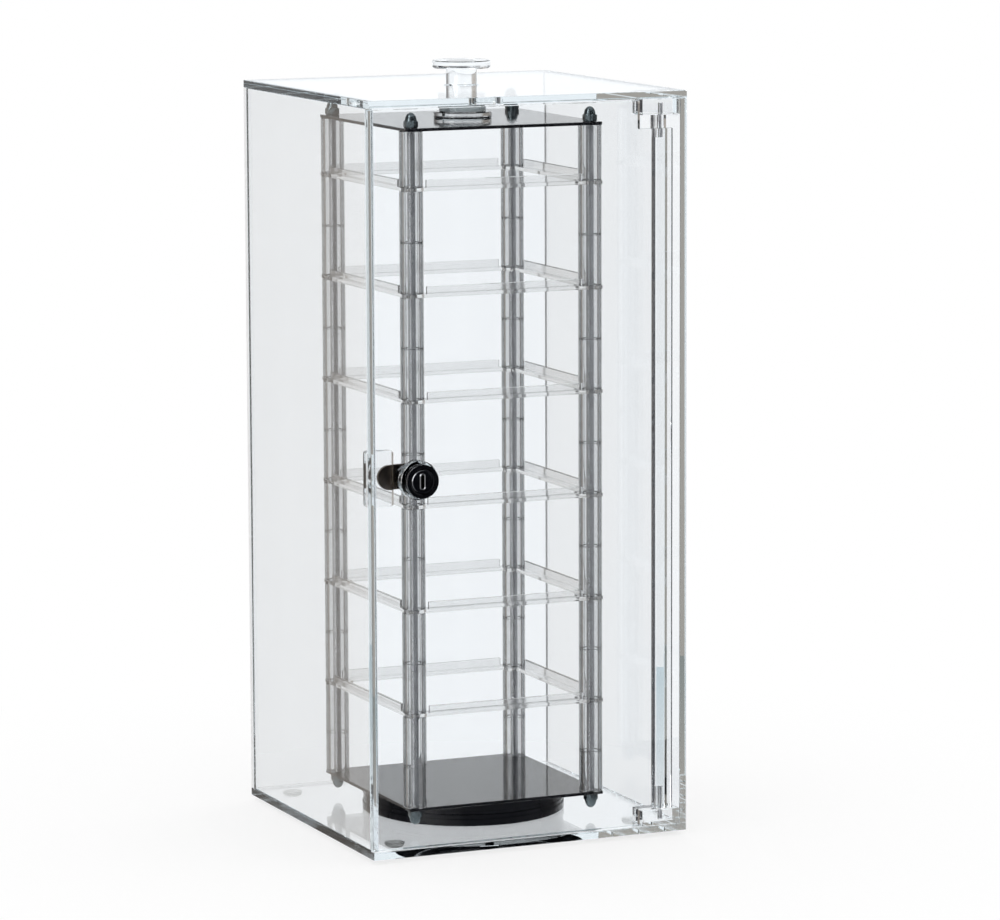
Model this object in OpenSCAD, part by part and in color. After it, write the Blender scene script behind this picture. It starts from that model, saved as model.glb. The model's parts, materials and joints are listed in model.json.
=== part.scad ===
// Rotating earring display case with a locking door.
// A clear case on four bumpers holds a tower of six open trays. The tower turns on a
// ball turntable and is turned by the knob above the case. The front door swings on
// two pins at its right end and is held by a cam lock at its left end.
// X points to the right, Y to the back and Z up. The origin lies on the floor, in the
// middle of the box that holds the whole object.

/* [Case] */
// Width of the case outside
case_w = 215; // [190:1:280]
// Depth of the case outside, door included
case_d = 215; // [190:1:280]
// Height of the case from the base panel's underside to the top panel's upper face
case_h = 472; // [400:1:560]
// Thickness of the side and back panels
wall_t = 4.8; // [3:0.1:6]
// Thickness of the base panel
base_t = 4.8; // [3:0.1:8]
// Thickness of the top panel
top_t = 4.8; // [3:0.1:8]
// Width of the polished bevel along every panel's edges
bevel = 0.3; // [0.1:0.05:0.6]

/* [Feet] */
// Diameter of a bumper foot where it meets the base panel
foot_d = 12.7; // [8:0.1:18]
// Height of a bumper foot
foot_h = 3; // [2:0.1:5]
// Diameter of the flat that a bumper foot stands on
foot_flat_d = 7; // [4:0.1:7.5]
// Distance of the feet from the case's left and right faces
foot_inset_side = 25.5; // [12:0.5:40]
// Distance of the front feet from the case's front
foot_inset_front = 30; // [12:0.5:40]
// Distance of the back feet from the case's back
foot_inset_back = 18; // [12:0.5:40]

/* [Door] */
// Thickness of the door panel
door_t = 4.8; // [3:0.1:6]
// Gap above and below the door panel
door_gap = 0.8; // [0.4:0.1:2]
// Gap between the door panel and the left panel's front edge
door_back_gap = 0.5; // [0.2:0.1:1.5]
// How far the door panel reaches past the hinge axis
door_tail = 6.3; // [4.5:0.1:6.5]
// Distance of the hinge axis from the case's right face
hinge_inset = 16; // [15.5:0.1:20]
// Width of the stile that carries the door on its pins
stile_w = 8; // [6:0.1:10]
// Depth of the stile, front to back
stile_d = 7; // [5:0.1:8]
// Running gap between the stile's ends and the hinge blocks
stile_gap = 0.3; // [0.2:0.05:0.6]

/* [Hinge blocks] */
// Distance from the hinge axis to a hinge block's left end
block_reach = 14.6; // [12:0.1:18]
// Depth of a hinge block
block_d = 17.4; // [15:0.1:24]
// Height of a hinge block
block_h = 10; // [9:0.1:16]
// Gap between a hinge block's left end and the side of the door's notch
notch_gap = 2.1; // [2:0.1:4]
// How far the door's upper notch reaches below the upper hinge block
notch_below = 8.5; // [1:0.1:14]
// Gap between the lower hinge block and the edge of the door's lower notch
notch_above = 0.8; // [0.4:0.1:3]
// Diameter of a hinge pin
pin_d = 3.2; // [2:0.1:4]
// Running clearance round a hinge pin in its block
pin_clear = 0.05; // [0.02:0.01:0.1]
// Length of a hinge pin inside its block
pin_in_block = 7; // [5:0.1:8]
// Length of a hinge pin inside the stile
pin_in_stile = 14; // [8:0.5:24]

/* [Lock] */
// Distance of the lock's axis from the case's left face
lock_inset = 30; // [28:0.1:40]
// Height of the lock's axis above the middle of the case
lock_lift = 1.8; // [-100:0.1:100]
// Diameter of the lock's head
head_d = 21; // [18.5:0.1:24]
// Thickness of the lock's head
head_t = 6; // [4:0.1:8]
// Diameter of the clear collar between head and door
collar_d = 24.5; // [21:0.1:28]
// Thickness of the clear collar
collar_t = 5.6; // [3:0.1:8]
// Diameter of the lock's threaded barrel
barrel_d = 16.5; // [15.5:0.1:17.5]
// Distance across the barrel's two flats
barrel_flats = 14.6; // [14:0.1:15.4]
// Diameter of the lock's plug
plug_d = 12.4; // [11:0.1:12.8]
// Running clearance round the plug
plug_clear = 0.05; // [0.02:0.01:0.1]
// Distance across the flats of the lock's nut
nut_flats = 20; // [19:0.1:22]
// Thickness of the lock's nut
nut_t = 3.4; // [2:0.1:5]
// Distance from the door's back face to the cam
cam_depth = 11.9; // [9:0.1:16]
// Distance from the lock's axis to the cam's tip
cam_reach = 19.8; // [17:0.1:21]
// Width of the cam
cam_w = 15.5; // [12:0.1:17]
// Thickness of the cam
cam_t = 2.5; // [1.5:0.1:3.5]
// Width of the keyway
key_w = 1.9; // [1:0.1:3]
// Height of the keyway
key_h = 8.6; // [6:0.1:9]
// Depth of the keyway
key_l = 15; // [8:0.5:18]
// Width of the strike plate, from the left panel inwards
strike_w = 14.2; // [11.5:0.1:15]
// Height of the strike plate
strike_h = 35; // [20:0.5:60]
// Thickness of the strike plate
strike_t = 4.8; // [3:0.1:6]
// Gap between the strike plate and the cam behind it
strike_gap = 0.3; // [0.2:0.1:1]

/* [Turntable] */
// Diameter of the turntable's two rings
ring_d = 127; // [100:1:134]
// Thickness of each turntable ring
ring_t = 6.9; // [5:0.1:9]
// Gap between the two rings
ring_gap = 0.9; // [0.8:0.1:2]
// Diameter of the circle that the balls run on
race_d = 100; // [70:1:110]
// Diameter of a bearing ball
ball_d = 6; // [4:0.1:6.5]
// Number of bearing balls
ball_count = 20; // [8:1:30]
// Clearance round a ball in the races and in the cage
ball_clear = 0.1; // [0.05:0.05:0.2]
// Width of the ball cage
cage_w = 12; // [9:0.5:16]
// Thickness of the ball cage
cage_t = 0.5; // [0.3:0.1:0.6]
// Diameter of the centre rivet's shank
rivet_d = 6; // [4:0.1:8]
// Diameter of the centre rivet's heads
rivet_head_d = 12; // [10:0.1:16]
// Thickness of the centre rivet's heads
rivet_head_t = 1.4; // [1:0.1:2]
// Running clearance round the centre rivet
rivet_clear = 0.05; // [0.02:0.01:0.1]

/* [Tower] */
// Gap between the tower's corners and the panels as the tower turns
sweep_gap = 7.95; // [4:0.05:16]
// Thickness of the tower's black plates
plate_t = 2; // [1.5:0.1:5]
// Gap between the tower's upper plate and the top panel
head_room = 16.1; // [14.5:0.1:30]
// Distance of a post's axis from the plates' edges
post_inset = 6; // [5:0.1:10]
// Outer diameter of the clear spacer tubes
tube_d = 15; // [12:0.1:18]
// Bore of the clear spacer tubes
tube_bore = 9.5; // [7:0.1:10]
// Width of the bevel at the ends of a spacer tube
tube_bevel = 0.3; // [0.1:0.05:0.6]
// Seam between two tubes that stand on each other
tube_seam = 0.1; // [0.05:0.05:0.3]
// Diameter of the threaded rods
rod_d = 5; // [4:0.1:5.6]
// Clearance round a rod in the plates and trays
rod_clear = 0.2; // [0.1:0.05:0.4]
// Distance across the flats of an acorn nut
acorn_flats = 8; // [7:0.1:9]
// Height of an acorn nut's hexagon
acorn_hex_h = 4.6; // [3:0.1:6]
// Diameter of an acorn nut's dome
acorn_dome_d = 7.4; // [6.6:0.1:7.6]
// Length of the rod inside an acorn nut
acorn_thread = 5.6; // [4:0.1:5.8]

/* [Trays] */
// Distance from the upper plate down to the topmost tray
top_room = 35.1; // [20:0.1:60]
// Distance from the lower plate up to the lowest tray
bottom_room = 58.3; // [36:0.1:90]
// Thickness of a tray's ledge and of its corner tabs
ledge_t = 2.2; // [1.5:0.1:4]
// Width of a tray's ledge with its rim
ledge_w = 7.5; // [5:0.1:12]
// Thickness of a tray's rim
rim_t = 2; // [1:0.1:3]
// Height of a tray's rim above the ledge
rim_h = 4.8; // [2:0.1:12]
// Gap between a rim's ends and the spacer tubes
rim_gap = 0.4; // [0.2:0.1:2]

/* [Knob] */
// Diameter of the knob's flange on the upper plate
flange_d = 37; // [30:0.5:44]
// Thickness of the knob's flange
flange_t = 4.4; // [3:0.1:6]
// Diameter of the knob's collar
hub_d = 30; // [22:0.5:36]
// Height of the knob's collar
hub_t = 7.5; // [4:0.1:8]
// Diameter of the knob's stem
stem_d = 19.6; // [14:0.1:21]
// Gap round the stem in the top panel's hole
stem_gap = 1.5; // [0.8:0.1:3]
// Height of the knob's cap above the top panel
cap_rise = 11; // [6:0.5:20]
// Diameter of the knob's cap
cap_d = 37; // [28:0.5:44]
// Thickness of the knob's cap
cap_t = 5; // [3:0.1:8]

/* [Hidden] */
$fn = 96;

// Colours of the clear acrylic, the black plates and the metals
clear = [0.86, 0.93, 0.97, 0.4];
soft_clear = [0.92, 0.94, 0.92, 0.6];
black = [0.05, 0.05, 0.055];
steel = [0.75, 0.76, 0.78];
bronze = [0.22, 0.17, 0.12];

// How far a cutting shape passes the face that it cuts
cut = 1;
// Clearance of pieces that are pressed or screwed together for good
snug = 0.05;
tray_count = 6;

// Plan of the case
lock_proud = collar_t + head_t;
front_y = lock_proud / 2 - case_d / 2;
back_y = front_y + case_d;
left_x = -case_w / 2;
right_x = case_w / 2;
axis_y = (front_y + back_y) / 2;
inner_left_x = left_x + wall_t;
inner_right_x = right_x - wall_t;
inner_back_y = back_y - wall_t;

// Heights of the case
base_z = foot_h;
floor_z = base_z + base_t;
roof_z = base_z + case_h - top_t;
wall_h = roof_z - floor_z;

// Door and hinges
hinge_x = right_x - hinge_inset;
door_back_y = front_y + door_t;
hinge_y = door_back_y + stile_d / 2;
door_z = floor_z + door_gap;
door_h = wall_h - 2 * door_gap;
door_w = hinge_x + door_tail - left_x;
block_x = hinge_x - block_reach;
lower_block_top = floor_z + block_h;
upper_block_z = roof_z - block_h;
stile_z = lower_block_top + stile_gap;
stile_h = upper_block_z - stile_gap - stile_z;
notch_x = block_x - notch_gap;

// Lock
lock_x = left_x + lock_inset;
lock_z = base_z + case_h / 2 + lock_lift;
cam_y = door_back_y + cam_depth;
barrel_end = cam_y - strike_gap;
strike_y = cam_y - strike_gap - strike_t;
drive_w = 7;
screw_d = 4;
screw_l = 8;
screw_head_d = 10.5;
screw_head_t = 2.4;

// Turntable
turntable_z = floor_z;
upper_ring_z = turntable_z + ring_t + ring_gap;
ball_z = turntable_z + ring_t + ring_gap / 2;
rivet_slack = 0.2;

// Tower
tower_corner_r = min(case_w, case_d) / 2 - max(wall_t, door_t) - sweep_gap;
plate_w = tower_corner_r * sqrt(2);
post_xy = plate_w / 2 - post_inset;
lower_plate_z = upper_ring_z + ring_t;
post_z = lower_plate_z + plate_t;
upper_plate_top = roof_z - head_room;
post_top = upper_plate_top - plate_t;
tray_pitch = (post_top - post_z - top_room - bottom_room - ledge_t) / (tray_count - 1);
tube_h = (tray_pitch - ledge_t) / 2;
foot_tube_h = bottom_room - tube_h;
acorn_h = acorn_hex_h + acorn_dome_d / 2 + 1.2;
rim_half = post_xy - tube_d / 2 - rim_gap;
tab_w = post_inset + tube_d / 2;

// Knob
hub_z = upper_plate_top + flange_t;
stem_z = hub_z + hub_t;
cap_z = roof_z + top_t + cap_rise;

function tray_z(i) = post_z + bottom_room + (i - 1) * tray_pitch;

// A box with its lowest corner at the origin and a bevel along all its edges
module bevelled_box(w, d, h, c = bevel) {
    intersection() {
        linear_extrude(h) bevelled_outline(w, d, c);
        translate([0, d, 0]) rotate([90, 0, 0]) linear_extrude(d) bevelled_outline(w, h, c);
        rotate([90, 0, 90]) linear_extrude(w) bevelled_outline(d, h, c);
    }
}

// A rectangle with its corners cut off at 45 degrees
module bevelled_outline(w, h, c) {
    polygon([[c, 0], [w - c, 0], [w, c], [w, h - c], [w - c, h], [c, h], [0, h - c], [0, c]]);
}

// A centred rectangle with round corners
module rounded_outline(w, h, r) {
    square([w - 2 * r, h], center = true);
    square([w, h - 2 * r], center = true);
    for (x = [-1, 1], y = [-1, 1])
        translate([x * (w / 2 - r), y * (h / 2 - r)]) circle(r);
}

// A disc with bevelled rims
module bevelled_disc(d, h, c = bevel) {
    rotate_extrude()
        polygon([[0, 0], [d / 2 - c, 0], [d / 2, c], [d / 2, h - c], [d / 2 - c, h], [0, h]]);
}

// Turns a shape that was drawn along Z so that it runs to the back along Y
module along_y() {
    rotate([-90, 0, 0]) children();
}

// Places a shape on the tower's axis at a height
module on_axis(z) {
    translate([0, axis_y, z]) children();
}

// A shape repeated at the tower's four posts
module at_posts(z) {
    for (x = [-1, 1], y = [-1, 1]) on_axis(z) translate([x * post_xy, y * post_xy, 0]) children();
}

module base_panel() {
    color(clear) translate([left_x, front_y, base_z]) bevelled_box(case_w, case_d, base_t);
}

module top_panel() {
    color(clear) difference() {
        translate([left_x, front_y, roof_z]) bevelled_box(case_w, case_d, top_t);
        on_axis(roof_z - cut) cylinder(h = top_t + 2 * cut, d = stem_d + 2 * stem_gap);
    }
}

module left_panel() {
    panel_y = door_back_y + door_back_gap;
    color(clear) translate([left_x, panel_y, floor_z])
        bevelled_box(wall_t, inner_back_y - panel_y, wall_h);
}

module right_panel() {
    color(clear) translate([inner_right_x, front_y, floor_z])
        bevelled_box(wall_t, inner_back_y - front_y, wall_h);
}

module back_panel() {
    color(clear) translate([left_x, inner_back_y, floor_z]) bevelled_box(case_w, wall_t, wall_h);
}

// The plate on the left panel that the cam catches behind
module strike_plate() {
    color(clear) translate([inner_left_x + strike_w / 2, strike_y, lock_z])
        along_y() linear_extrude(strike_t) rounded_outline(strike_w, strike_h, 1.6);
}

module hinge_block() {
    bevelled_box(inner_right_x - block_x, block_d, block_h);
}

module upper_hinge_block() {
    color(clear) difference() {
        translate([block_x, front_y, upper_block_z]) hinge_block();
        translate([hinge_x, hinge_y, upper_block_z - cut])
            cylinder(h = cut + pin_in_block + stile_gap, d = pin_d + 2 * pin_clear);
    }
}

module lower_hinge_block() {
    color(clear) difference() {
        translate([block_x, front_y, floor_z]) hinge_block();
        translate([hinge_x, hinge_y, lower_block_top - pin_in_block - stile_gap])
            cylinder(h = cut + pin_in_block + stile_gap, d = pin_d + 2 * pin_clear);
    }
}

// One bumper: a flat round cap that swells to its full diameter under the base panel
module bumper_foot() {
    steps = 10;
    drop = foot_d / 2 - foot_flat_d / 2;
    rotate_extrude() polygon(concat(
        [[0, 0]],
        [for (i = [0:steps]) let (a = 90 * i / steps)
            [foot_flat_d / 2 + drop * sin(a), foot_h * (1 - cos(a))]],
        [[0, foot_h]]
    ));
}

module bumper_feet() {
    color(soft_clear) for (x = [-1, 1], y = [front_y + foot_inset_front, back_y - foot_inset_back])
        translate([x * (case_w / 2 - foot_inset_side), y, 0]) bumper_foot();
}

// The groove that the balls run in, drawn at the balls' own height
module ball_race() {
    rotate_extrude() translate([race_d / 2, 0]) circle(d = ball_d + 2 * ball_clear, $fn = 48);
}

// A ring's blank with a groove round its rim
module ring_blank() {
    groove_z = ring_t * 0.62;
    groove_h = 0.9;
    groove_d = 1.1;
    r = ring_d / 2;
    rotate_extrude() polygon([
        [0, 0], [r - bevel, 0], [r, bevel], [r, groove_z], [r - groove_d, groove_z],
        [r - groove_d, groove_z + groove_h], [r - 0.6, groove_z + groove_h],
        [r - 0.6, ring_t], [0, ring_t]
    ]);
}

// The ring on the base panel, with a recess for the rivet's lower head
module turntable_lower_ring() {
    color(black) difference() {
        on_axis(turntable_z) ring_blank();
        on_axis(ball_z) ball_race();
        on_axis(turntable_z - cut) cylinder(h = ring_t + 2 * cut, d = rivet_d + 2 * snug);
        on_axis(turntable_z - cut)
            cylinder(h = cut + rivet_head_t + rivet_slack, d = rivet_head_d + 2 * rivet_slack);
    }
}

// The ring under the tower, with a running bore and a recess for the rivet's upper head
module turntable_upper_ring() {
    top = upper_ring_z + ring_t;
    color(black) difference() {
        on_axis(top) mirror([0, 0, 1]) ring_blank();
        on_axis(ball_z) ball_race();
        on_axis(upper_ring_z - cut) cylinder(h = ring_t + 2 * cut, d = rivet_d + 2 * rivet_clear);
        on_axis(top - rivet_head_t - 2 * rivet_slack)
            cylinder(h = rivet_head_t + 2 * rivet_slack + cut, d = rivet_head_d + 2 * rivet_slack);
    }
}

module turntable_rivet() {
    low = turntable_z + rivet_slack;
    high = upper_ring_z + ring_t - rivet_slack;
    color(steel) {
        on_axis(low) union() {
            cylinder(h = rivet_head_t, d = rivet_head_d);
            cylinder(h = high - low, d = rivet_d);
            translate([0, 0, high - low - rivet_head_t]) cylinder(h = rivet_head_t, d = rivet_head_d);
        }
    }
}

module ball_cage() {
    color(steel) on_axis(ball_z - cage_t / 2) difference() {
        cylinder(h = cage_t, d = race_d + cage_w);
        translate([0, 0, -cut]) cylinder(h = cage_t + 2 * cut, d = race_d - cage_w);
        for (i = [1:ball_count]) rotate(i * 360 / ball_count) translate([race_d / 2, 0, -cut])
            cylinder(h = cage_t + 2 * cut, d = ball_d + 2 * ball_clear);
    }
}

module bearing_balls() {
    color(steel) on_axis(ball_z) for (i = [1:ball_count])
        rotate(i * 360 / ball_count) translate([race_d / 2, 0, 0]) sphere(d = ball_d, $fn = 32);
}

// The door, notched at its right corners to clear the hinge blocks
module door_panel() {
    notch_w = door_w + cut - (notch_x - left_x);
    upper_z = upper_block_z - notch_below;
    lower_z = lower_block_top + notch_above;
    color(clear) difference() {
        translate([left_x, front_y, door_z]) bevelled_box(door_w, door_t, door_h);
        translate([notch_x, front_y - cut, upper_z])
            cube([notch_w, door_t + 2 * cut, roof_z - upper_z]);
        translate([notch_x, front_y - cut, floor_z - cut])
            cube([notch_w, door_t + 2 * cut, lower_z - floor_z + cut]);
        translate([lock_x, front_y - cut, lock_z]) along_y() barrel(door_t + 2 * cut, snug);
    }
}

// The bar behind the door that turns on the hinge pins
module door_stile() {
    color(clear) difference() {
        translate([hinge_x - stile_w / 2, door_back_y, stile_z])
            bevelled_box(stile_w, stile_d, stile_h);
        translate([hinge_x, hinge_y, stile_z - cut])
            cylinder(h = cut + pin_in_stile + snug, d = pin_d + 2 * snug);
        translate([hinge_x, hinge_y, stile_z + stile_h - pin_in_stile - snug])
            cylinder(h = cut + pin_in_stile + snug, d = pin_d + 2 * snug);
    }
}

module hinge_pin() {
    bevelled_disc(pin_d, pin_in_stile + stile_gap + pin_in_block);
}

module upper_hinge_pin() {
    color(steel) translate([hinge_x, hinge_y, stile_z + stile_h - pin_in_stile]) hinge_pin();
}

module lower_hinge_pin() {
    color(steel) translate([hinge_x, hinge_y, lower_block_top - pin_in_block]) hinge_pin();
}

// The threaded barrel's shape with its two flats, grown by a clearance
module barrel(h, grow = 0) {
    intersection() {
        cylinder(h = h, d = barrel_d + 2 * grow);
        translate([-barrel_d, -barrel_flats / 2 - grow, 0])
            cube([2 * barrel_d, barrel_flats + 2 * grow, h]);
    }
}

// The lock's head and barrel, bored for the plug
module lock_housing() {
    r = head_d / 2;
    lip = 0.9;
    lip_r = plug_d / 2 + 1.6;
    color(black) translate([lock_x, front_y - lock_proud, lock_z]) along_y() difference() {
        union() {
            rotate_extrude() polygon([
                [0, lip], [lip_r, lip], [lip_r + 0.6, 0], [r - 1, 0], [r, 1], [r, head_t - 0.5],
                [r - 0.5, head_t], [0, head_t]
            ]);
            translate([0, 0, head_t - snug])
                barrel(barrel_end - front_y + collar_t + snug);
        }
        translate([0, 0, -cut])
            cylinder(h = barrel_end - front_y + lock_proud + 2 * cut, d = plug_d + 2 * plug_clear);
    }
}

// The clear disc between the lock's head and the door
module lock_collar() {
    color(clear) translate([lock_x, front_y - collar_t, lock_z]) along_y() difference() {
        bevelled_disc(collar_d, collar_t);
        translate([0, 0, -cut]) cylinder(h = collar_t + 2 * cut, d = barrel_d + 2 * snug);
    }
}

module lock_nut() {
    color(black) translate([lock_x, door_back_y, lock_z]) along_y() difference() {
        rotate(30) cylinder(h = nut_t, d = nut_flats / cos(30), $fn = 6);
        translate([0, 0, -cut]) cylinder(h = nut_t + 2 * cut, d = barrel_d + 2 * snug);
    }
}

// The plug with its keyway in front and a square drive with a screw hole behind
module lock_plug() {
    face = 0.7;
    plug_l = barrel_end + strike_gap / 2 - front_y + lock_proud;
    drive_l = plug_l + strike_gap / 2 + cam_t;
    color(black) translate([lock_x, front_y - lock_proud, lock_z]) along_y() difference() {
        union() {
            translate([0, 0, face]) cylinder(h = plug_l - face, d = plug_d);
            translate([-drive_w / 2, -drive_w / 2, face])
                cube([drive_w, drive_w, drive_l - face]);
        }
        translate([-key_w / 2, -key_h / 2, face - cut]) cube([key_w, key_h, key_l + cut]);
        translate([0, 0, drive_l - screw_l - snug])
            cylinder(h = screw_l + snug + cut, d = screw_d + 2 * snug);
    }
}

// The cam, pointing left behind the strike plate
module lock_cam() {
    tip_r = cam_w / 2;
    color(bronze) translate([lock_x, cam_y, lock_z]) along_y() difference() {
        linear_extrude(cam_t) {
            circle(tip_r);
            translate([tip_r - cam_reach, 0]) circle(tip_r);
            translate([tip_r - cam_reach, -tip_r]) square([cam_reach - tip_r, cam_w]);
        }
        translate([-drive_w / 2 - snug, -drive_w / 2 - snug, -cut])
            cube([drive_w + 2 * snug, drive_w + 2 * snug, cam_t + 2 * cut]);
    }
}

module cam_screw() {
    color(steel) translate([lock_x, cam_y + cam_t, lock_z]) along_y() {
        translate([0, 0, -screw_l]) cylinder(h = screw_l + 0.5, d = screw_d);
        difference() {
            rotate_extrude() polygon([
                [0, 0], [screw_head_d / 2, 0], [screw_head_d / 2, screw_head_t * 0.5],
                [screw_head_d / 2 - 1.4, screw_head_t], [0, screw_head_t]
            ]);
            for (a = [0, 90]) rotate(a)
                translate([-2.4, -0.45, screw_head_t - 1]) cube([4.8, 0.9, 2]);
        }
    }
}

// A black plate of the tower with its rod holes
module tower_plate(z) {
    color(black) difference() {
        on_axis(z) translate([-plate_w / 2, -plate_w / 2, 0])
            bevelled_box(plate_w, plate_w, plate_t);
        at_posts(z - cut) cylinder(h = plate_t + 2 * cut, d = rod_d + 2 * rod_clear);
    }
}

module tower_lower_plate() {
    tower_plate(lower_plate_z);
}

module tower_upper_plate() {
    tower_plate(post_top);
}

// An open square frame: a ledge with corner tabs for the posts and a rim on each side
module tray(i) {
    half = plate_w / 2;
    inner = half - ledge_w;
    tab = tab_w + rim_gap;
    color(soft_clear) difference() {
        on_axis(tray_z(i)) union() {
            linear_extrude(ledge_t) difference() {
                square(plate_w, center = true);
                difference() {
                    square(2 * inner, center = true);
                    for (x = [-1, 1], y = [-1, 1])
                        translate([x * (half - tab / 2), y * (half - tab / 2)])
                            square(tab, center = true);
                }
            }
            for (a = [0:90:270]) rotate(a) translate([-rim_half, half - rim_t, 0])
                bevelled_box(2 * rim_half, rim_t, ledge_t + rim_h);
        }
        at_posts(tray_z(i) - cut) cylinder(h = ledge_t + 2 * cut, d = rod_d + 2 * rod_clear);
    }
}

// One clear spacer tube
module spacer_tube(h) {
    r = tube_d / 2;
    b = tube_bore / 2;
    c = tube_bevel;
    rotate_extrude() polygon([
        [b, 0], [r - c, 0], [r, c], [r, h - c], [r - c, h], [b, h]
    ]);
}

// The stack of spacer tubes on one post: two below each tray and one above the topmost
module tube_stack(x, y) {
    color(soft_clear) on_axis(0) translate([x * post_xy, y * post_xy, 0]) {
        translate([0, 0, post_z]) spacer_tube(foot_tube_h - tube_seam);
        for (i = [1:tray_count]) translate([0, 0, tray_z(i) - tube_h]) spacer_tube(tube_h);
        for (i = [1:tray_count - 1]) translate([0, 0, tray_z(i) + ledge_t])
            spacer_tube(tube_h - tube_seam);
        translate([0, 0, tray_z(tray_count) + ledge_t]) spacer_tube(top_room);
    }
}

module front_left_tubes() {
    tube_stack(-1, -1);
}

module front_right_tubes() {
    tube_stack(1, -1);
}

module back_left_tubes() {
    tube_stack(-1, 1);
}

module back_right_tubes() {
    tube_stack(1, 1);
}

// A threaded rod from the lower acorn nut to the upper one
module rod(x, y) {
    low = lower_plate_z - acorn_thread;
    high = upper_plate_top + acorn_thread;
    color(steel) on_axis(low) translate([x * post_xy, y * post_xy, 0])
        bevelled_disc(rod_d, high - low, 0.4);
}

module front_left_rod() {
    rod(-1, -1);
}

module front_right_rod() {
    rod(1, -1);
}

module back_left_rod() {
    rod(-1, 1);
}

module back_right_rod() {
    rod(1, 1);
}

// A domed nut that stands on the XY plane with its blind bore downwards
module acorn_nut() {
    dome_r = acorn_dome_d / 2;
    difference() {
        union() {
            intersection() {
                cylinder(h = acorn_hex_h, d = acorn_flats / cos(30), $fn = 6);
                rotate_extrude() polygon([
                    [0, 0], [acorn_flats / 2, 0], [acorn_flats / 2 + 1.2, 1.2],
                    [acorn_flats / 2 + 1.2, acorn_hex_h - 1], [acorn_flats / 2, acorn_hex_h],
                    [0, acorn_hex_h]
                ]);
            }
            cylinder(h = acorn_h - dome_r, r = dome_r, $fn = 48);
            translate([0, 0, acorn_h - dome_r]) sphere(dome_r, $fn = 48);
        }
        translate([0, 0, -cut])
            cylinder(h = cut + acorn_thread + snug, d = rod_d + 2 * snug);
    }
}

module upper_acorn_nuts() {
    color(steel) at_posts(upper_plate_top) acorn_nut();
}

module lower_acorn_nuts() {
    color(steel) at_posts(lower_plate_z) mirror([0, 0, 1]) acorn_nut();
}

module knob_flange() {
    color(clear) on_axis(upper_plate_top) bevelled_disc(flange_d, flange_t, 0.5);
}

module knob_hub() {
    color(clear) on_axis(hub_z) bevelled_disc(hub_d, hub_t, 0.5);
}

module knob_stem() {
    color(clear) on_axis(stem_z) bevelled_disc(stem_d, cap_z - stem_z);
}

module knob_cap() {
    color(clear) on_axis(cap_z) bevelled_disc(cap_d, cap_t, 0.6);
}

base_panel();
top_panel();
left_panel();
right_panel();
back_panel();
strike_plate();
upper_hinge_block();
lower_hinge_block();
bumper_feet();
turntable_lower_ring();
turntable_rivet();
door_panel();
door_stile();
upper_hinge_pin();
lower_hinge_pin();
lock_housing();
lock_collar();
lock_nut();
lock_plug();
lock_cam();
cam_screw();
ball_cage();
bearing_balls();
turntable_upper_ring();
tower_lower_plate();
tower_upper_plate();
for (i = [1:tray_count])
    tray(i);
front_left_tubes();
front_right_tubes();
back_left_tubes();
back_right_tubes();
front_left_rod();
front_right_rod();
back_left_rod();
back_right_rod();
upper_acorn_nuts();
lower_acorn_nuts();
knob_flange();
knob_hub();
knob_stem();
knob_cap();
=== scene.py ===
"""Looks of the rotating earring display case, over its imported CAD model."""

import json
import math

import bmesh
import bpy
from mathutils import Matrix, Vector

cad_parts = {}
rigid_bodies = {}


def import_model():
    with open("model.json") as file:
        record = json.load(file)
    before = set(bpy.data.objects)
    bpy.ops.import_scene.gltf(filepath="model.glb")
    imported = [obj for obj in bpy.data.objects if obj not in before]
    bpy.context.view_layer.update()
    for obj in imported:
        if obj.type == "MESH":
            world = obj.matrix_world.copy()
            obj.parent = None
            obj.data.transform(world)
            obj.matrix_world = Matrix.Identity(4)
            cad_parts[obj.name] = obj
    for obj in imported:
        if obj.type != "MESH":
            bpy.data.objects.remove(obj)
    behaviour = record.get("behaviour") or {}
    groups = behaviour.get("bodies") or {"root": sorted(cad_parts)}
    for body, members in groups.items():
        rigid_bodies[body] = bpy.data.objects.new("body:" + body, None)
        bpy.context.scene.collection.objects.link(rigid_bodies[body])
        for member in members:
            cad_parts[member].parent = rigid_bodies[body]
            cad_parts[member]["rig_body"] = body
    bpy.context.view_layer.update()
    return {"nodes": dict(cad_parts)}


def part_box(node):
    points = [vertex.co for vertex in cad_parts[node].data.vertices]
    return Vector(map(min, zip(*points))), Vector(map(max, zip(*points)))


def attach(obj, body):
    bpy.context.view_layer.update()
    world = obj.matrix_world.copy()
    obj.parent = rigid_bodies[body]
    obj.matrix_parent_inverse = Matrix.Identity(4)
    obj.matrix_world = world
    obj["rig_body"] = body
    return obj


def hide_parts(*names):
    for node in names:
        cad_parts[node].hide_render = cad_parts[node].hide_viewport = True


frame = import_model()
nodes = frame["nodes"]
scene = bpy.context.scene
POSTS = ["front_left", "front_right", "back_left", "back_right"]
TRAYS = ["tray_%d" % i for i in range(1, 7)]


# Node helpers

def new_material(name):
    """A node material; returns it with its tree and its Principled BSDF."""
    mat = bpy.data.materials.new(name)
    mat.use_nodes = True
    tree = mat.node_tree
    return mat, tree, tree.nodes["Principled BSDF"]


def noise(tree, scale, detail=3.0, stretch=(1, 1, 1)):
    """A noise texture over object coordinates; returns its value socket."""
    coords = tree.nodes.new("ShaderNodeTexCoord")
    mapping = tree.nodes.new("ShaderNodeMapping")
    mapping.inputs["Scale"].default_value = stretch
    tex = tree.nodes.new("ShaderNodeTexNoise")
    tex.inputs["Scale"].default_value = scale
    tex.inputs["Detail"].default_value = detail
    tree.links.new(coords.outputs["Object"], mapping.inputs["Vector"])
    tree.links.new(mapping.outputs["Vector"], tex.inputs["Vector"])
    return tex.outputs["Fac"]


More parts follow.
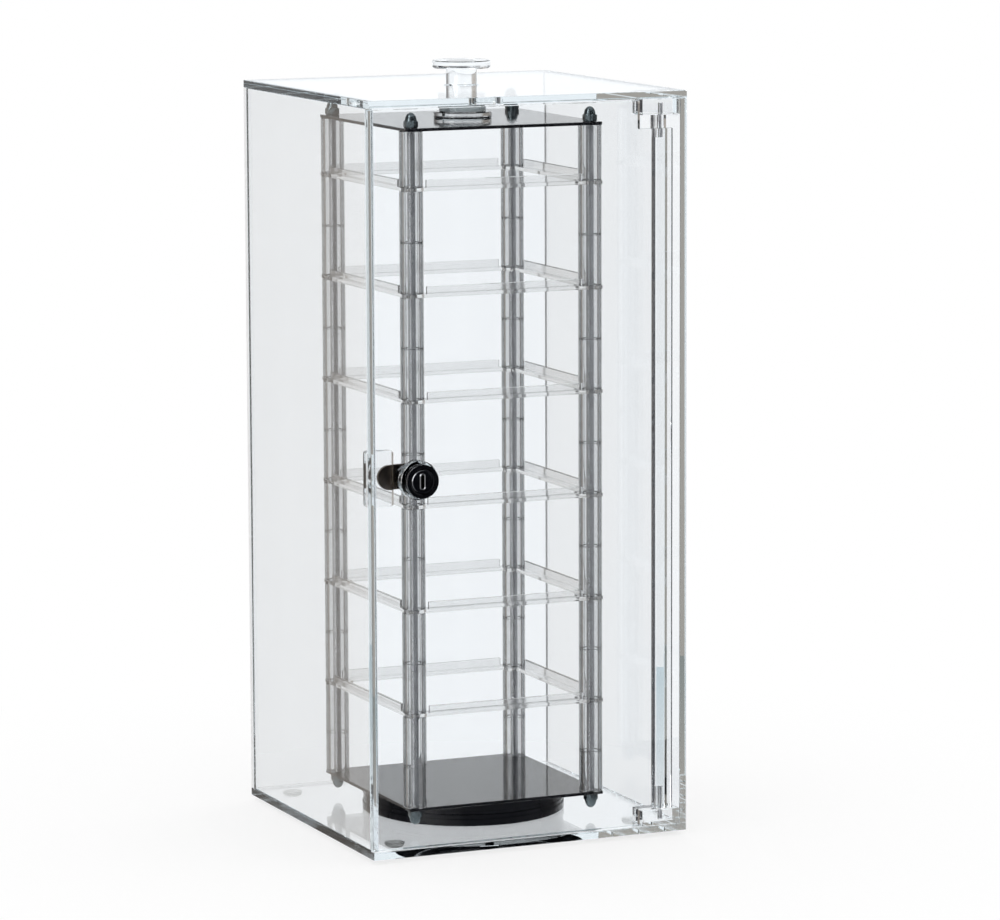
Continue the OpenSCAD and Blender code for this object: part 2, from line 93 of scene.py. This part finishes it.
def waves(tree, scale):
    """Even waves over object coordinates along Z."""
    coords = tree.nodes.new("ShaderNodeTexCoord")
    tex = tree.nodes.new("ShaderNodeTexWave")
    tex.bands_direction = "Z"
    tex.inputs["Scale"].default_value = scale
    tree.links.new(coords.outputs["Object"], tex.inputs["Vector"])
    return tex.outputs["Fac"]


def ramp(tree, value, low, high, out_low, out_high):
    """Maps value from low..high to out_low..out_high."""
    node = tree.nodes.new("ShaderNodeMapRange")
    node.inputs["From Min"].default_value = low
    node.inputs["From Max"].default_value = high
    node.inputs["To Min"].default_value = out_low
    node.inputs["To Max"].default_value = out_high
    tree.links.new(value, node.inputs["Value"])
    return node.outputs["Result"]


def mix_colours(tree, factor, a, b):
    """Colour a where factor is 0 and b where it is 1; each is a colour or a socket."""
    node = tree.nodes.new("ShaderNodeMix")
    node.data_type = "RGBA"
    for socket, value in ((node.inputs["Factor"], factor), (node.inputs["A"], a), (node.inputs["B"], b)):
        if isinstance(value, tuple):
            socket.default_value = (*value, 1)
        else:
            tree.links.new(value, socket)
    return node.outputs["Result"]


def maths(tree, operation, *values):
    """A Math node over numbers and sockets; returns its value socket."""
    node = tree.nodes.new("ShaderNodeMath")
    node.operation = operation
    for socket, value in zip(node.inputs, values):
        if isinstance(value, (int, float)):
            socket.default_value = value
        else:
            tree.links.new(value, socket)
    return node.outputs["Value"]


def colour_stops(tree, value, stops):
    """A colour ramp over (position, colour) stops."""
    node = tree.nodes.new("ShaderNodeValToRGB")
    elements = node.color_ramp.elements
    while len(elements) < len(stops):
        elements.new(0.5)
    for element, (position, colour) in zip(elements, stops):
        element.position = position
        element.color = (*colour, 1)
    tree.links.new(value, node.inputs["Fac"])
    return node.outputs["Color"]


def levels(tree, value, *stops):
    """A grey ramp over (position, level) stops that keeps the outer levels beyond them."""
    ends = [(0.0, stops[0][1]), *stops, (1.0, stops[-1][1])]
    return colour_stops(tree, value, [(position, (level,) * 3) for position, level in ends])


def bump(tree, shader, height, strength, distance):
    """Raises the shader's surface by height; distance is the full rise in metres."""
    node = tree.nodes.new("ShaderNodeBump")
    node.inputs["Strength"].default_value = strength
    node.inputs["Distance"].default_value = distance
    tree.links.new(height, node.inputs["Height"])
    tree.links.new(node.outputs["Normal"], shader.inputs["Normal"])


# Materials

ACRYLIC_IOR = 1.49
SHEET_TINT, SHEET_DENSITY = (0.5, 0.66, 0.72), 1.6
# Layer Weight's facing value against the strength of the painted shade on a tube's sides
PAINTED_RIM_SHADE_STOPS = [(0.27, 0), (0.38, 1), (0.5, 1), (0.68, 0.2)]
# The part of a noise texture's values that is spread over a material's roughness
WIDE_SPAN, NARROW_SPAN = (0.3, 0.8), (0.35, 0.75)
BLACKS = ((0.006, 0.006, 0.007), (0.012, 0.012, 0.014))


def acrylic(name, tints, rough, absorb=SHEET_TINT, density=SHEET_DENSITY, milk=0.0, painted_rim_shade=None):
    """Clear plastic with faint cloudy wear and a tint that grows with depth.

    milk is the share of light that scatters at the surface. The rim tint is painted shade: faces marked
    as outer take it on where they turn away from the view, in place of the darker sides of a thick tube.
    """
    mat, tree, shader = new_material(name)
    shader.inputs["Transmission Weight"].default_value = 1 - milk
    shader.inputs["IOR"].default_value = ACRYLIC_IOR
    cloud = noise(tree, scale=18, detail=3)
    tint = mix_colours(tree, cloud, *tints)
    # Painted shade: faces marked as outer darken towards the rim tint where they turn away from the view
    if painted_rim_shade:
        turned = tree.nodes.new("ShaderNodeLayerWeight")
        turned.inputs["Blend"].default_value = 0.5
        outer = tree.nodes.new("ShaderNodeAttribute")
        outer.attribute_name = "outer"
        side = levels(tree, turned.outputs["Facing"], *PAINTED_RIM_SHADE_STOPS)
        tint = mix_colours(tree, maths(tree, "MULTIPLY", side, outer.outputs["Fac"]), tint, painted_rim_shade)
    tree.links.new(tint, shader.inputs["Base Color"])
    smear = noise(tree, scale=45, detail=2, stretch=(1, 1, 0.25))
    tree.links.new(ramp(tree, smear, *NARROW_SPAN, *rough), shader.inputs["Roughness"])
    volume = tree.nodes.new("ShaderNodeVolumeAbsorption")
    volume.inputs["Color"].default_value = (*absorb, 1)
    volume.inputs["Density"].default_value = density
    tree.links.new(volume.outputs["Volume"], tree.nodes["Material Output"].inputs["Volume"])
    return mat


def black_plastic(name, rough, level, scale):
    """Black plastic with a faint haze of the given scale; level is its specular level."""
    mat, tree, shader = new_material(name)
    shader.inputs["Specular IOR Level"].default_value = level
    haze = noise(tree, scale, detail=4)
    tree.links.new(mix_colours(tree, haze, *BLACKS), shader.inputs["Base Color"])
    tree.links.new(ramp(tree, haze, *WIDE_SPAN, *rough), shader.inputs["Roughness"])
    return mat


def metal(name, tints, rough):
    """Metal with a fine grain between two tints."""
    mat, tree, shader = new_material(name)
    shader.inputs["Metallic"].default_value = 1
    fine = noise(tree, scale=200, detail=4)
    tree.links.new(mix_colours(tree, fine, *tints), shader.inputs["Base Color"])
    tree.links.new(ramp(tree, fine, *WIDE_SPAN, *rough), shader.inputs["Roughness"])
    bump(tree, shader, fine, strength=0.1, distance=0.0001)
    return mat


# A wave texture of scale 1 repeats every 2 pi / 20 units
WAVE_LENGTH = 2 * math.pi / 20


def threaded(name, tints, rough, pitch):
    """Zinc-plated steel with a thread along Z, worn brighter on the crests."""
    mat, tree, shader = new_material(name)
    shader.inputs["Metallic"].default_value = 1
    thread = waves(tree, WAVE_LENGTH / pitch)
    fine = noise(tree, scale=300, detail=3)
    tree.links.new(mix_colours(tree, maths(tree, "MULTIPLY", thread, fine), *tints),
                   shader.inputs["Base Color"])
    tree.links.new(ramp(tree, fine, *WIDE_SPAN, *rough), shader.inputs["Roughness"])
    bump(tree, shader, thread, strength=1.0, distance=0.0004)
    return mat


clear = acrylic("clear_sheet_acrylic", tints=((1, 1, 1), (0.985, 0.99, 0.992)), rough=(0.0, 0.004))
clear_edge = acrylic("clear_sawn_edge", tints=((1, 1, 1), (0.97, 0.975, 0.975)), rough=(0.1, 0.22))
frosted_edge = acrylic("frosted_back_edge", tints=((1, 1, 1), (0.95, 0.955, 0.96)),
                       rough=(0.3, 0.45), milk=0.8)
turned_side = acrylic("turned_hub_side", tints=((0.62, 0.67, 0.68), (0.4, 0.45, 0.46)),
                      rough=(0.2, 0.4), milk=0.25)
# The rim tint here is painted shade on the tubes' sides
tube_clear = acrylic("clear_tube_acrylic", tints=((1, 1, 1), (0.97, 0.975, 0.975)), rough=(0.0, 0.03),
                     absorb=(0.3, 0.31, 0.32), density=62, painted_rim_shade=(0.2, 0.215, 0.22))
tray_clear = acrylic("clear_moulded_tray", tints=((1, 1, 1), (0.98, 0.985, 0.98)), rough=(0.02, 0.09),
                     absorb=(0.5, 0.5, 0.48), density=4, milk=0.07)
bumper = acrylic("bumper_rubber", tints=((0.93, 0.94, 0.92), (0.86, 0.87, 0.85)), rough=(0.25, 0.4),
                 absorb=(0.7, 0.7, 0.65), density=20, milk=0.3)
gloss = black_plastic("black_gloss_acrylic", rough=(0.04, 0.12), level=0.5, scale=60)
ring_black = black_plastic("black_turned_ring", rough=(0.12, 0.22), level=0.18, scale=140)
bright = metal("bright_nickel", tints=((0.15, 0.18, 0.19), (0.09, 0.11, 0.12)), rough=(0.04, 0.1))
zinc = metal("zinc_plated_steel", tints=((0.55, 0.56, 0.58), (0.42, 0.43, 0.46)), rough=(0.22, 0.38))
pin_steel = metal("hinge_pin_steel", tints=((0.85, 0.86, 0.88), (0.7, 0.71, 0.73)), rough=(0.4, 0.55))
bronze = metal("dark_bronze_cam", tints=((0.10, 0.075, 0.05), (0.17, 0.13, 0.09)), rough=(0.3, 0.45))
lock_black = metal("black_nickel_lock", tints=((0.05, 0.05, 0.055), (0.08, 0.08, 0.09)), rough=(0.1, 0.2))
lock_bright = metal("polished_lock_edges", tints=((0.2, 0.2, 0.21), (0.16, 0.16, 0.17)), rough=(0.04, 0.08))
rod_zinc = threaded("threaded_zinc_steel", tints=((0.65, 0.66, 0.68), (0.95, 0.96, 0.98)),
                    rough=(0.16, 0.28), pitch=0.0008)

FINISH = {
    clear: ["base_panel", "top_panel", "left_panel", "right_panel", "back_panel",
            "strike_plate", "upper_hinge_block", "lower_hinge_block", "door_panel",
            "door_stile", "lock_collar", "knob_flange", "knob_hub", "knob_stem",
            "knob_cap"],
    tray_clear: TRAYS,
    tube_clear: [p + "_tubes" for p in POSTS],
    bumper: ["bumper_feet"],
    gloss: ["tower_lower_plate", "tower_upper_plate"],
    ring_black: ["turntable_lower_ring", "turntable_upper_ring"],
    bright: ["upper_acorn_nuts", "lower_acorn_nuts", "bearing_balls"],
    rod_zinc: [p + "_rod" for p in POSTS],
    zinc: ["ball_cage", "turntable_rivet", "cam_screw"],
    pin_steel: ["upper_hinge_pin", "lower_hinge_pin"],
    bronze: ["lock_cam"],
    lock_black: ["lock_housing", "lock_nut", "lock_plug"],
}
finish_of = {name: material for material, names in FINISH.items() for name in names}
for name, material in finish_of.items():
    mesh = nodes[name].data
    mesh.materials.clear()
    mesh.materials.append(material)


# Mesh helpers

# Corners of the CAD's meshes, and of meshes made here, closer than this are one corner
CAD_WELD, WELD = 2e-6, 1e-7
# Radius of a ring that stands for a point on the axis, and the distance that welds it to one
TIP = 0.00001
TIP_WELD = 2.1 * TIP
# Edges flatter than this are smooth
SMOOTH_ANGLE = math.radians(25)
# Gap left between pieces that only touch
AIR = 0.00002


def cad_bmesh(name):
    """The CAD node's mesh with its split corners joined again."""
    bm = bmesh.new()
    bm.from_mesh(nodes[name].data)
    bmesh.ops.remove_doubles(bm, verts=bm.verts, dist=CAD_WELD)
    return bm


def close_up(bm, distance):
    """Welds corners within the distance and turns all faces outwards."""
    bmesh.ops.remove_doubles(bm, verts=bm.verts, dist=distance)
    bmesh.ops.recalc_face_normals(bm, faces=bm.faces)


def new_object(name, bm, material):
    """An object from a bmesh, smooth but for its sharp corners."""
    for face in bm.faces:
        face.smooth = True
    bm.normal_update()
    for edge in bm.edges:
        edge.smooth = len(edge.link_faces) == 2 and edge.calc_face_angle() < SMOOTH_ANGLE
    mesh = bpy.data.meshes.new(name)
    bm.to_mesh(mesh)
    bm.free()
    mesh.materials.append(material)
    obj = bpy.data.objects.new(name, mesh)
    scene.collection.objects.link(obj)
    return obj


def new_piece(name, bm, node):
    """A dressed piece from a bmesh, in place of one CAD node and with its finish."""
    obj = new_object(name, bm, finish_of[node])
    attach(obj, nodes[node]["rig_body"])
    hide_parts(node)
    return obj


def revolve(bm, centre, profile, segments, radius=None):
    """Adds a turned ring of (r, z) points round centre; radius(angle, r) may reshape it."""
    rings = []
    for r, z in profile:
        ring = []
        for k in range(segments):
            angle = 2 * math.pi * k / segments
            size = radius(angle, r) if radius else r
            ring.append(bm.verts.new((centre[0] + size * math.cos(angle),
                                      centre[1] + size * math.sin(angle), centre[2] + z)))
        rings.append(ring)
    bridge(bm, zip(rings, rings[1:]), segments)


def bridge(bm, pairs, segments):
    """Adds the faces between pairs of rings."""
    for low, high in pairs:
        for k in range(segments):
            n = (k + 1) % segments
            bm.faces.new((low[k], low[n], high[n], high[k]))


# Pieces dressed over the CAD

# A face turns to an axis where its normal's part along it is at least this
TURNED_TO = 0.5
# Cemented pieces with matt narrow faces, which of their faces those are, and their finish
MATT = {
    "base_panel": (lambda normal: abs(normal.z) < TURNED_TO and normal.y > -TURNED_TO, clear_edge),
    "back_panel": (lambda normal: abs(normal.y) < TURNED_TO, frosted_edge),
    "knob_hub": (lambda normal: abs(normal.z) < TURNED_TO, turned_side),
}


def cemented(names):
    """Cemented pieces joined without faces inside the joints, each piece its own object."""
    marks = [bpy.data.materials.new("mark") for name in names]
    parts = []
    for i, name in enumerate(names):
        bm = cad_bmesh(name)
        mesh = bpy.data.meshes.new("cut")
        for face in bm.faces:
            face.material_index = i
        bm.to_mesh(mesh)
        bm.free()
        for mark in marks:
            mesh.materials.append(mark)
        part = bpy.data.objects.new("cut", mesh)
        scene.collection.objects.link(part)
        parts.append(part)
    group = bpy.data.collections.new("cut")
    for part in parts[1:]:
        group.objects.link(part)
    join = parts[0].modifiers.new("join", "BOOLEAN")
    join.operation = "UNION"
    join.solver = "EXACT"
    join.operand_type = "COLLECTION"
    join.collection = group
    bpy.context.view_layer.update()
    joined = bpy.data.meshes.new_from_object(
        parts[0].evaluated_get(bpy.context.evaluated_depsgraph_get()))
    for i, name in enumerate(names):
        bm = bmesh.new()
        bm.from_mesh(joined)
        others = [face for face in bm.faces if face.material_index != i]
        bmesh.ops.delete(bm, geom=others, context="FACES")
        for face in bm.faces:
            face.material_index = int(name in MATT and MATT[name][0](face.normal))
        piece = new_piece("clear_" + name, bm, name)
        if name in MATT:
            piece.data.materials.append(MATT[name][1])
    for part in parts:
        bpy.data.objects.remove(part)
    bpy.data.collections.remove(group)
    bpy.data.meshes.remove(joined)
    for mark in marks:
        bpy.data.materials.remove(mark)


cemented(["base_panel", "top_panel", "left_panel", "right_panel", "back_panel", "strike_plate",
          "upper_hinge_block", "lower_hinge_block", "turntable_lower_ring"])
cemented(["door_panel", "door_stile", "lock_collar"])
cemented(["knob_flange", "knob_hub", "knob_stem", "knob_cap"])

# Thickness of a tray's ledge, and the seam left open between two tubes
LEDGE, SEAM = 0.0022, 0.0001
TUBE_R, BORE_R, TUBE_BEVEL, TUBE_SEGMENTS = 0.0075, 0.00475, 0.0003, 96


def tube_spans():
    """Lowest and highest point of each spacer tube on a post."""
    post_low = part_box("tower_lower_plate")[1][2]
    post_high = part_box("tower_upper_plate")[0][2]
    trays = [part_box(name)[0][2] for name in TRAYS]
    tube_h = (trays[1] - trays[0] - LEDGE) / 2
    spans = [(post_low, trays[0] - tube_h - SEAM)]
    spans += [(z - tube_h, z) for z in trays]
    spans += [(z + LEDGE, z + LEDGE + tube_h - SEAM) for z in trays[:-1]]
    return spans + [(trays[-1] + LEDGE, post_high)]


def spacer_tubes(post):
    """The tubes of a post, their outer corners marked for the painted shade on their sides."""
    low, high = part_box(post + "_rod")
    x, y = (low[0] + high[0]) / 2, (low[1] + high[1]) / 2
    bm = bmesh.new()
    outer = bm.verts.layers.float.new("outer")
    for z0, z1 in tube_spans():
        h = z1 - z0 - 2 * AIR
        profile = [(BORE_R, 0), (TUBE_R - TUBE_BEVEL, 0), (TUBE_R, TUBE_BEVEL), (TUBE_R, h - TUBE_BEVEL),
                   (TUBE_R - TUBE_BEVEL, h), (BORE_R, h), (BORE_R, 0)]
        revolve(bm, (x, y, z0 + AIR), profile, TUBE_SEGMENTS)
    close_up(bm, WELD)
    # Marks the outer faces, which take the painted shade on the tube's sides
    for vert in bm.verts:
        vert[outer] = float(math.hypot(vert.co.x - x, vert.co.y - y) > (BORE_R + TUBE_R) / 2)
    new_piece("clear_" + post + "_tubes", bm, post + "_tubes")


for post in POSTS:
    spacer_tubes(post)

# A dome nut: height of its hexagon, half its width across flats, radius of its cap and of its
# corners
HEX_H, FLAT, DOME_R, NUT_R = 0.0046, 0.004, 0.0037, 0.0046
# Heights of the hexagon's lower and upper chamfer, the small step under the cap and its fillet
NUT_FOOT, NUT_SHOULDER, NUT_STEP, NUT_FILLET = 0.0005, 0.0006, 0.0001, 0.00005
NUT_SEGMENTS, DOME_STEPS = 72, 12


def nut_radius(angle, r):
    """The hexagon's radius at an angle, rounded off by the chamfer radius r."""
    turn = (angle + math.pi / 6) % (math.pi / 3) - math.pi / 6
    return min(r, FLAT / math.cos(turn))


def acorn_nuts(node, way):
    """Four dome nuts: a chamfered hexagon with a round cap; way is 1 above and -1 below."""
    low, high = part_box(node)
    seat = low[2] if way > 0 else high[2]
    top = high[2] - low[2]
    bm = bmesh.new()
    for post in POSTS:
        a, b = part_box(post + "_rod")
        centre = ((a[0] + b[0]) / 2, (a[1] + b[1]) / 2, seat)
        bore_r = (b[0] - a[0]) / 2 + AIR
        bore_h = (b[2] - seat if way > 0 else seat - a[2]) + AIR
        hexagon = [(TIP, bore_h), (bore_r, bore_h), (bore_r, AIR),
                   (FLAT, AIR), (NUT_R, NUT_FOOT), (NUT_R, HEX_H - NUT_SHOULDER),
                   (FLAT - NUT_STEP, HEX_H - NUT_FILLET), (DOME_R + NUT_STEP, HEX_H)]
        rise = top - HEX_H
        turns = [math.pi / 2 * k / DOME_STEPS for k in range(DOME_STEPS)]
        dome = [(DOME_R * math.cos(turn), HEX_H + rise * math.sin(turn)) for turn in turns]
        profile = hexagon + dome + [(TIP, top)]
        revolve(bm, centre, [(r, way * z) for r, z in profile], NUT_SEGMENTS, nut_radius)
    close_up(bm, TIP_WELD)
    new_piece("dressed_" + node, bm, node)


acorn_nuts("upper_acorn_nuts", 1)
acorn_nuts("lower_acorn_nuts", -1)

# A bumper foot: its full radius and that of its flat tread
FOOT_R, FOOT_FLAT_R, FOOT_STEPS, FOOT_SEGMENTS = 0.00635, 0.0035, 12, 64


def bumper_feet():
    """Four round rubber feet that swell from a flat tread to the panel's underside."""
    low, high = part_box("bumper_feet")
    tall = high[2] - AIR
    profile = [(TIP, 0)]
    for k in range(FOOT_STEPS + 1):
        turn = math.pi / 2 * k / FOOT_STEPS
        profile.append((FOOT_FLAT_R + (FOOT_R - FOOT_FLAT_R) * math.sin(turn),
                        tall * (1 - math.cos(turn))))
    profile.append((TIP, tall))
    bm = bmesh.new()
    for x in (low[0] + FOOT_R, high[0] - FOOT_R):
        for y in (low[1] + FOOT_R, high[1] - FOOT_R):
            revolve(bm, (x, y, 0), profile, FOOT_SEGMENTS)
    close_up(bm, TIP_WELD)
    new_piece("dressed_bumper_feet", bm, "bumper_feet")


bumper_feet()


# Raised work on the lock's face

# Width of the bevel round the head, here and, with a margin, in the CAD
EDGE, CAD_EDGE = 0.0003, 0.0011
# Depth within which a corner lies in the head's front
ON_FRONT = 0.0001
# The bead's inner and outer radius, its height, and the depth of the sunken face under it
BEAD_IN_R, BEAD_R, BEAD_T, SUNK, BEAD_SEGMENTS = 0.0064, 0.0070, 0.0008, 0.0009, 96
KEY_W, KEY_H, FRAME_SEGMENTS = 0.0019, 0.0086, 48
# The keyway frame's section: distance from the keyway's rim and rise over the plug's face
FRAME_SECTION = [(0.0001, -0.0002), (0.0001, 0.0), (0.0006, 0.0005), (0.0011, 0.0), (0.0011, -0.0002)]


def lock_axis():
    """X and Z of the lock's axis, the radius of its head and the Y of its front."""
    low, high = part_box("lock_housing")
    return (low[0] + high[0]) / 2, (low[2] + high[2]) / 2, (high[0] - low[0]) / 2, low[1]


def face_piece(name, bm, node):
    """A rigid bright-edged piece that stands on a CAD node's face and rides with it."""
    obj = new_object(name, bm, lock_bright)
    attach(obj, nodes[node]["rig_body"])


def lock_head():
    """The lock's housing with a narrow bevel round its head, the head's front left flat."""
    x, z, head_r, front = lock_axis()
    bm = cad_bmesh("lock_housing")
    for vert in bm.verts:
        out = Vector((vert.co.x - x, 0, vert.co.z - z))
        depth = vert.co.y - front
        if depth < CAD_EDGE and out.length > head_r - CAD_EDGE:
            if depth < ON_FRONT:
                vert.co += out.normalized() * (head_r - EDGE - out.length)
            else:
                vert.co.y = front + EDGE
    new_piece("dressed_lock_housing", bm, "lock_housing")


def lock_bead():
    """A bevelled bead on the head's sunken face, round the plug."""
    x, z, _, front = lock_axis()
    bm = bmesh.new()
    profile = [(BEAD_IN_R, 0), (BEAD_IN_R, BEAD_T), (BEAD_R, BEAD_T), (BEAD_R + BEAD_T, 0),
               (BEAD_IN_R, 0)]
    revolve(bm, (0, 0, 0), profile, BEAD_SEGMENTS)
    bmesh.ops.rotate(bm, verts=bm.verts, matrix=Matrix.Rotation(math.pi / 2, 3, "X"))
    bmesh.ops.translate(bm, verts=bm.verts, vec=(x, front + SUNK, z))
    close_up(bm, WELD)
    face_piece("lock_bead", bm, "lock_housing")


def keyway_frame():
    """A narrow bevelled frame round the keyway."""
    x, z, _, _ = lock_axis()
    face_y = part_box("lock_plug")[0][1]
    bm = bmesh.new()
    rings = []
    for grow, rise in FRAME_SECTION:
        ring = []
        for k in range(FRAME_SEGMENTS):
            turn = 2 * math.pi * k / FRAME_SEGMENTS
            round_r = KEY_W / 2 + grow
            straight = math.copysign(KEY_H / 2 - KEY_W / 2, math.sin(turn))
            ring.append(bm.verts.new((x + round_r * math.cos(turn), face_y - rise,
                                      z + round_r * math.sin(turn) + straight)))
        rings.append(ring)
    bridge(bm, zip(rings, rings[1:] + rings[:1]), FRAME_SEGMENTS)
    bmesh.ops.recalc_face_normals(bm, faces=bm.faces)
    face_piece("keyway_frame", bm, "lock_plug")


lock_head()
lock_bead()
keyway_frame()


# Floor, light and camera

def seen_directly(tree):
    """1 for camera, glossy and transmission rays; returns it with the Light Path node."""
    path = tree.nodes.new("ShaderNodeLightPath")
    first = maths(tree, "MAXIMUM", path.outputs["Is Camera Ray"], path.outputs["Is Glossy Ray"])
    return maths(tree, "MAXIMUM", first, path.outputs["Is Transmission Ray"]), path


def mirrored_rays(tree, path):
    """1 for rays that a glass or metal face has mirrored at least once."""
    kind = maths(tree, "MAXIMUM", path.outputs["Is Glossy Ray"], path.outputs["Is Transmission Ray"])
    return maths(tree, "MULTIPLY", maths(tree, "MINIMUM", path.outputs["Glossy Depth"], 1), kind)


WHITE = (1.0, 1.0, 1.0)
# What clear pieces show of floor and world behind them
BACKDROP = (1.03, 1.06, 1.09)
# What is mirrored from above and below, and of the lamp
SKY, GROUND, LAMP = (0.96, 0.98, 1.0), (0.9, 0.92, 0.94), (5.0, 5.0, 5.0)


def at(degrees):
    """Position of a heading round the world on a colour ramp."""
    return degrees / 360 + 0.5


def up(degrees):
    """Position of an elevation on a colour ramp."""
    return degrees / 180 + 0.5


def studio(tree):
    """What glass and metal mirror.

    A pale backdrop behind, a darker room round the front and sides, light from above and
    below, and a tall lamp at the left.
    """
    coords = tree.nodes.new("ShaderNodeTexCoord")
    split = tree.nodes.new("ShaderNodeSeparateXYZ")
    tree.links.new(coords.outputs["Generated"], split.inputs[0])
    x, y, z = split.outputs
    around = maths(tree, "MULTIPLY_ADD", maths(tree, "ARCTAN2", x, y), 1 / (2 * math.pi), 0.5)
    height = maths(tree, "MULTIPLY_ADD", maths(tree, "ARCSINE", z), 1 / math.pi, 0.5)
    ring = colour_stops(tree, around, [
        (at(-180), (0.03, 0.033, 0.045)),
        (at(-152), (0.04, 0.04, 0.05)),
        (at(-146), (0.85, 0.87, 0.9)),
        (at(-138), (1.0, 1.0, 1.0)),
        (at(-112), (1.0, 1.0, 1.0)),
        (at(-104), (0.07, 0.07, 0.08)),
        (at(-60), (0.10, 0.095, 0.09)),
        (at(-38), (0.42, 0.39, 0.36)),
        (at(-12), (0.48, 0.44, 0.40)),
        (at(-4), BACKDROP),
        (at(58), BACKDROP),
        (at(76), (0.30, 0.29, 0.29)),
        (at(110), (0.13, 0.13, 0.14)),
        (at(135), (0.03, 0.033, 0.04)),
        (at(180), (0.03, 0.033, 0.045)),
    ])
    overhead = levels(tree, height, (up(32), 0), (up(50), 1))
    below = levels(tree, height, (up(-19), 1), (up(-14), 0))
    view = mix_colours(tree, overhead, ring, SKY)
    view = mix_colours(tree, below, view, GROUND)
    beside = levels(tree, around, (at(-130), 0), (at(-126), 1), (at(-104), 1), (at(-100), 0))
    above = levels(tree, height, (up(-2), 0), (up(4), 1), (up(56), 1), (up(62), 0))
    return mix_colours(tree, maths(tree, "MULTIPLY", beside, above), view, LAMP)


FLOOR_R, FLOOR_SEGMENTS = 0.55, 96
# Radii between which the floor's own shade gives way to plain backdrop, and its share at each
SHADE_R, SHADE_SHARE = (0.16, 0.5), (0.75, 1.0)
# Added to that share where the floor is seen through clear pieces
THROUGH_SHARE = 0.18


def floor_material():
    """White that keeps the case's shadow and fades out to the backdrop; mirrors don't show it."""
    mat, tree, shader = new_material("floor_white")
    shader.inputs["Base Color"].default_value = (*WHITE, 1)
    shader.inputs["Roughness"].default_value = 0.9
    shader.inputs["Specular IOR Level"].default_value = 0
    seen, path = seen_directly(tree)
    coords = tree.nodes.new("ShaderNodeTexCoord")
    length = tree.nodes.new("ShaderNodeVectorMath")
    length.operation = "LENGTH"
    tree.links.new(coords.outputs["Object"], length.inputs[0])
    share = ramp(tree, length.outputs["Value"], *SHADE_R, *SHADE_SHARE)
    through = maths(tree, "MULTIPLY", path.outputs["Is Transmission Ray"], THROUGH_SHARE)
    share = maths(tree, "MINIMUM", maths(tree, "ADD", share, through), 1)
    glow = tree.nodes.new("ShaderNodeEmission")
    tree.links.new(mix_colours(tree, path.outputs["Is Camera Ray"], BACKDROP, WHITE), glow.inputs["Color"])
    both = tree.nodes.new("ShaderNodeMixShader")
    tree.links.new(maths(tree, "MULTIPLY", seen, share), both.inputs["Fac"])
    tree.links.new(shader.outputs["BSDF"], both.inputs[1])
    tree.links.new(glow.outputs["Emission"], both.inputs[2])
    gone = tree.nodes.new("ShaderNodeBsdfTransparent")
    faded = tree.nodes.new("ShaderNodeMixShader")
    tree.links.new(mirrored_rays(tree, path), faded.inputs["Fac"])
    tree.links.new(both.outputs["Shader"], faded.inputs[1])
    tree.links.new(gone.outputs["BSDF"], faded.inputs[2])
    tree.links.new(faded.outputs["Shader"], tree.nodes["Material Output"].inputs["Surface"])
    return mat


bm = bmesh.new()
bmesh.ops.create_circle(bm, cap_ends=True, radius=FLOOR_R, segments=FLOOR_SEGMENTS)
mesh = bpy.data.meshes.new("floor")
bm.to_mesh(mesh)
bm.free()
mesh.materials.append(floor_material())
floor = bpy.data.objects.new("floor", mesh)
scene.collection.objects.link(floor)

world = bpy.data.worlds.new("studio")
scene.world = world
world.use_nodes = True
tree = world.node_tree
tree.nodes.clear()
out = tree.nodes.new("ShaderNodeOutputWorld")
back = tree.nodes.new("ShaderNodeBackground")
seen, path = seen_directly(tree)
through = maths(tree, "SUBTRACT", seen, path.outputs["Is Camera Ray"])
plain = mix_colours(tree, through, WHITE, BACKDROP)
mirrored = mirrored_rays(tree, path)
tree.links.new(mix_colours(tree, mirrored, plain, studio(tree)), back.inputs["Color"])
tree.links.new(back.outputs["Background"], out.inputs["Surface"])

# The camera as fitted to the photograph: its direction from the target and its roll, its
# distance, its shift to the right and up, and its focal length in pixels of the picture's width
AZ, EL, ROLL = math.radians(-23.52), math.radians(8.26), math.radians(-0.23)
TARGET, DIST, SHIFT_RIGHT, SHIFT_UP = Vector((0, 0.0058, 0.239)), 3.156, 0.02365, -0.00495
FOCAL_PX, WIDTH_PX, SENSOR = 4910, 1000, 36
CLIP_NEAR, CLIP_FAR = 0.1, 50

back_dir = Vector((math.sin(AZ) * math.cos(EL), -math.cos(AZ) * math.cos(EL), math.sin(EL)))
level_right = (-back_dir).cross(Vector((0, 0, 1))).normalized()
level_up = level_right.cross(-back_dir)
cam_right = level_right * math.cos(ROLL) + level_up * math.sin(ROLL)
cam_up = level_up * math.cos(ROLL) - level_right * math.sin(ROLL)
place = TARGET + back_dir * DIST + cam_right * SHIFT_RIGHT + cam_up * SHIFT_UP
cam = bpy.data.cameras.new("camera")
cam.sensor_width = SENSOR
cam.lens = FOCAL_PX * SENSOR / WIDTH_PX
cam.clip_start, cam.clip_end = CLIP_NEAR, CLIP_FAR
camera = bpy.data.objects.new("camera", cam)
scene.collection.objects.link(camera)
camera.matrix_world = Matrix((
    (cam_right.x, cam_up.x, back_dir.x, place.x),
    (cam_right.y, cam_up.y, back_dir.y, place.y),
    (cam_right.z, cam_up.z, back_dir.z, place.z),
    (0, 0, 0, 1)))
scene.camera = camera
scene.view_settings.view_transform = "Standard"

# Light crosses many clear walls on its way
BOUNCES, TRANSPARENT_BOUNCES = 256, 32
scene.cycles.max_bounces = BOUNCES
scene.cycles.transmission_bounces = BOUNCES
scene.cycles.glossy_bounces = BOUNCES
scene.cycles.transparent_max_bounces = TRANSPARENT_BOUNCES
